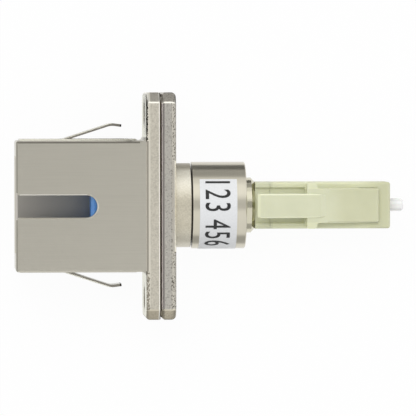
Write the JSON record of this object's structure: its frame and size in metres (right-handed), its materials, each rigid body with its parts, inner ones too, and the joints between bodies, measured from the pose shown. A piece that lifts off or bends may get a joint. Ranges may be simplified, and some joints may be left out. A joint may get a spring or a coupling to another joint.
{
  "type": "hybrid fibre adapter",
  "caption": "Panel-mount hybrid fibre adapter: square push-pull port with keyway and spring wings, two-plate flange, ring nut, and a small latched plug with a floating ferrule.",
  "frame": {"origin": "on the optical axis, in the flange face that seats on the panel", "axes": "+X along the optical axis from the square port to the small plug, +Z towards the keyway and the latch, +Y along the flange"},
  "size_m": [0.0379, 0.022, 0.0094],
  "materials": {
    "nickel_casting": "satin nickel plate on die casting",
    "spring_steel": "bright rolled sheet and wire",
    "blue_moulding": "moulded, semi-gloss",
    "zirconia": "polished ceramic",
    "nickel_brass": "turned and nickel plated",
    "label_paper": "matt white film",
    "beige_moulding": "moulded, satin",
    "glass_fibre": "clear"
  },
  "bodies": {
    "adapter": {"sc_housing": "nickel_casting", "retaining_clip": "spring_steel", "sleeve_holder": "blue_moulding", "split_sleeve": "zirconia", "rear_flange": "nickel_casting", "flange_rivets": "nickel_brass", "clamp_nut": "nickel_brass", "fibre_label": "label_paper", "plug_stem": "nickel_brass", "stub_holder": "nickel_brass", "stub_ferrule": "zirconia", "lc_rear_body": "beige_moulding", "lc_front_housing": "beige_moulding", "ferrule_spring": "spring_steel", "fibre": "glass_fibre"},
    "upper_wing": {"clip_wing_upper": "spring_steel"},
    "lower_wing": {"clip_wing_lower": "spring_steel"},
    "upper_hook": {"plug_hook_upper": "blue_moulding"},
    "lower_hook": {"plug_hook_lower": "blue_moulding"},
    "latch": {"lc_latch": "beige_moulding"},
    "ferrule": {"lc_ferrule": "zirconia", "ferrule_barrel": "nickel_brass"}
  },
  "joints": [
    {"name": "upper_wing_flex", "type": "hinge", "parent": "adapter", "child": "upper_wing", "pos_m": [-0.00799, 0.00636, -0.0015], "axis": [0, 0, -1], "range_deg": [0, 13], "stiffness_Nm_per_rad": 0.11},
    {"name": "lower_wing_flex", "type": "hinge", "parent": "adapter", "child": "lower_wing", "pos_m": [-0.00799, -0.00636, -0.0015], "axis": [0, 0, 1], "range_deg": [0, 13], "stiffness_Nm_per_rad": 0.11},
    {"name": "upper_hook_flex", "type": "hinge", "parent": "adapter", "child": "upper_hook", "pos_m": [0.00054, 0.0035, 0], "axis": [0, 0, -1], "range_deg": [0, 3], "stiffness_Nm_per_rad": 0.2},
    {"name": "lower_hook_flex", "type": "hinge", "parent": "adapter", "child": "lower_hook", "pos_m": [0.00054, -0.0035, 0], "axis": [0, 0, 1], "range_deg": [0, 3], "stiffness_Nm_per_rad": 0.2},
    {"name": "latch_press", "type": "hinge", "parent": "adapter", "child": "latch", "pos_m": [0.02234, 0, 0.00256], "axis": [0, -1, 0], "range_deg": [0, 6], "stiffness_Nm_per_rad": 0.29},
    {"name": "ferrule_float", "type": "slide", "parent": "adapter", "child": "ferrule", "axis": [-1, 0, 0], "range_m": [0, 0.0006], "stiffness_N_per_m": 1000, "deforming": ["ferrule_spring", "fibre"]}
  ]
}
